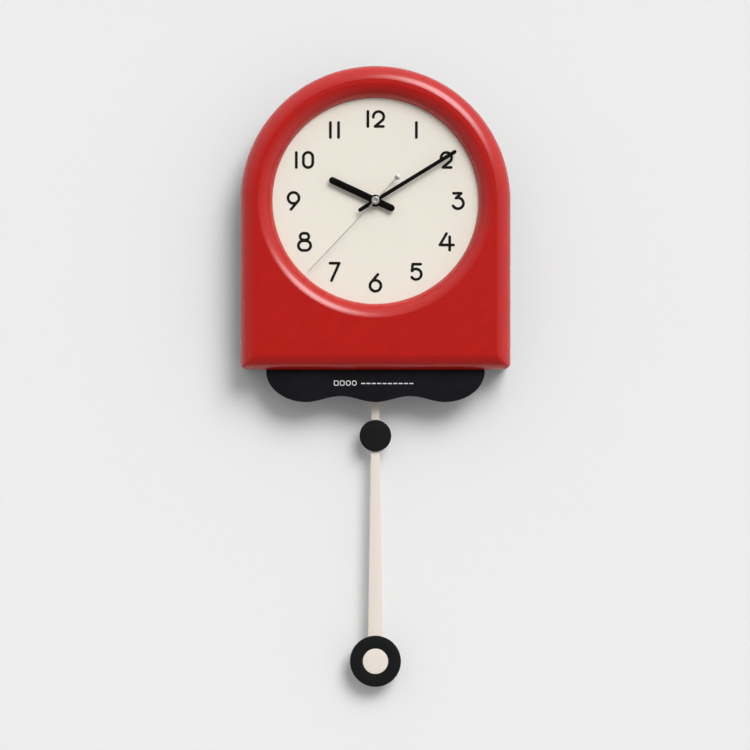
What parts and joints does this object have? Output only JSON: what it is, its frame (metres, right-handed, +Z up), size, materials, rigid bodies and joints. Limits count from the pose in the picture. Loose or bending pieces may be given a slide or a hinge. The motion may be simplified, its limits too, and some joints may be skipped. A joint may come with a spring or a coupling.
{
  "type": "pendulum wall clock",
  "caption": "Battery wall clock with an arched moulded case, a round recessed dial, geared hands, a scalloped plate under the case and a swinging disc pendulum on a tapered rod.",
  "frame": {"origin": "where the wall screw seats in the keyhole of the hanger, in the plane of the wall", "axes": "+X to the viewer's right, +Y into the wall, +Z up; the dial faces -Y and the pendulum hangs down -Z"},
  "size_m": [0.2516, 0.046, 0.5798],
  "materials": {
    "red_case": "satin",
    "dark_cover": "matte",
    "black_shell": "matte",
    "cream_dial": "matte",
    "black_print": "matte",
    "white_print": "matte",
    "black_plate": "matte",
    "black_hand": "satin",
    "silver_hand": "satin",
    "cream_rod": "satin",
    "black_disc": "matte",
    "screw_steel": "bright",
    "hanger_steel": "satin",
    "brass": "satin",
    "rubber": "matte",
    "white_gear": "satin",
    "magnet": "satin",
    "copper_wire": "satin",
    "board": "satin",
    "cell": "gloss",
    "contact": "bright"
  },
  "bodies": {
    "case": {"front_case": "red_case", "back_cover": "dark_cover", "cover_screws": "screw_steel", "hanger_plate": "hanger_steel", "hanger_rivets": "screw_steel", "dial_plate": "cream_dial", "dial_numerals": "black_print", "dial_screws": "screw_steel", "scalloped_plate": "black_plate", "plate_mark": "white_print", "plate_screws": "screw_steel", "movement_front_shell": "black_shell", "movement_back_shell": "black_shell", "fixing_nut": "brass", "rubber_washer": "rubber", "stator": "hanger_steel", "movement_coil": "copper_wire", "movement_board": "board", "clock_battery": "cell", "clock_contacts": "contact", "drive_case": "black_shell", "drive_lid": "black_shell", "drive_screws": "screw_steel", "drive_battery": "cell", "drive_contacts": "contact", "drive_coil": "copper_wire", "drive_board": "board", "pivot_pin": "screw_steel"},
    "hour": {"hour_wheel": "white_gear", "hour_hand": "black_hand"},
    "minute": {"cannon_pinion": "brass", "minute_hand": "black_hand"},
    "second": {"second_wheel": "brass", "second_hand": "silver_hand", "second_cap": "silver_hand"},
    "motion": {"motion_wheel": "white_gear"},
    "knob": {"setting_knob": "white_gear"},
    "minute_drive": {"minute_drive_wheel": "white_gear"},
    "third": {"third_wheel": "white_gear"},
    "intermediate": {"intermediate_wheel": "white_gear"},
    "rotor": {"rotor": "magnet"},
    "pendulum": {"swing_arm": "white_gear", "swing_magnet": "magnet", "pendulum_rod": "cream_rod", "accent_disc": "black_disc", "bob_ring": "black_disc", "bob_centre": "cream_rod"}
  },
  "joints": [
    {"name": "minute_spin", "type": "hinge", "parent": "case", "child": "minute", "pos_m": [0, 0, -0.1], "axis": [0, 1, 0], "continuous": true},
    {"name": "hour_spin", "type": "hinge", "parent": "case", "child": "hour", "pos_m": [0, 0, -0.1], "axis": [0, 1, 0], "continuous": true},
    {"name": "motion_spin", "type": "hinge", "parent": "case", "child": "motion", "pos_m": [0.00789, 0, -0.09713], "axis": [0, 1, 0], "continuous": true},
    {"name": "knob_spin", "type": "hinge", "parent": "case", "child": "knob", "pos_m": [0.01579, 0, -0.1], "axis": [0, 1, 0], "continuous": true},
    {"name": "second_spin", "type": "hinge", "parent": "case", "child": "second", "pos_m": [0, 0, -0.1], "axis": [0, 1, 0], "continuous": true},
    {"name": "third_spin", "type": "hinge", "parent": "case", "child": "third", "pos_m": [-0.00736, 0, -0.09575], "axis": [0, 1, 0], "continuous": true},
    {"name": "minute_drive_spin", "type": "hinge", "parent": "case", "child": "minute_drive", "pos_m": [0, 0, -0.1], "axis": [0, 1, 0], "continuous": true},
    {"name": "intermediate_spin", "type": "hinge", "parent": "case", "child": "intermediate", "pos_m": [0.00182, 0, -0.08966], "axis": [0, 1, 0], "continuous": true},
    {"name": "rotor_spin", "type": "hinge", "parent": "case", "child": "rotor", "pos_m": [0.00891, 0, -0.08841], "axis": [0, 1, 0], "continuous": true},
    {"name": "pendulum_swing", "type": "hinge", "parent": "case", "child": "pendulum", "pos_m": [0, 0, -0.21], "axis": [0, 1, 0], "range_deg": [-10, 10]}
  ],
  "couplings": [
    {"joint": "hour_spin", "follows": "minute_spin", "ratio": 0.083333},
    {"joint": "motion_spin", "follows": "minute_spin", "ratio": -0.33333},
    {"joint": "knob_spin", "follows": "minute_spin", "ratio": 1},
    {"joint": "third_spin", "follows": "second_spin", "ratio": -0.13333},
    {"joint": "minute_drive_spin", "follows": "second_spin", "ratio": 0.016667},
    {"joint": "intermediate_spin", "follows": "second_spin", "ratio": -6},
    {"joint": "rotor_spin", "follows": "second_spin", "ratio": 30}
  ]
}
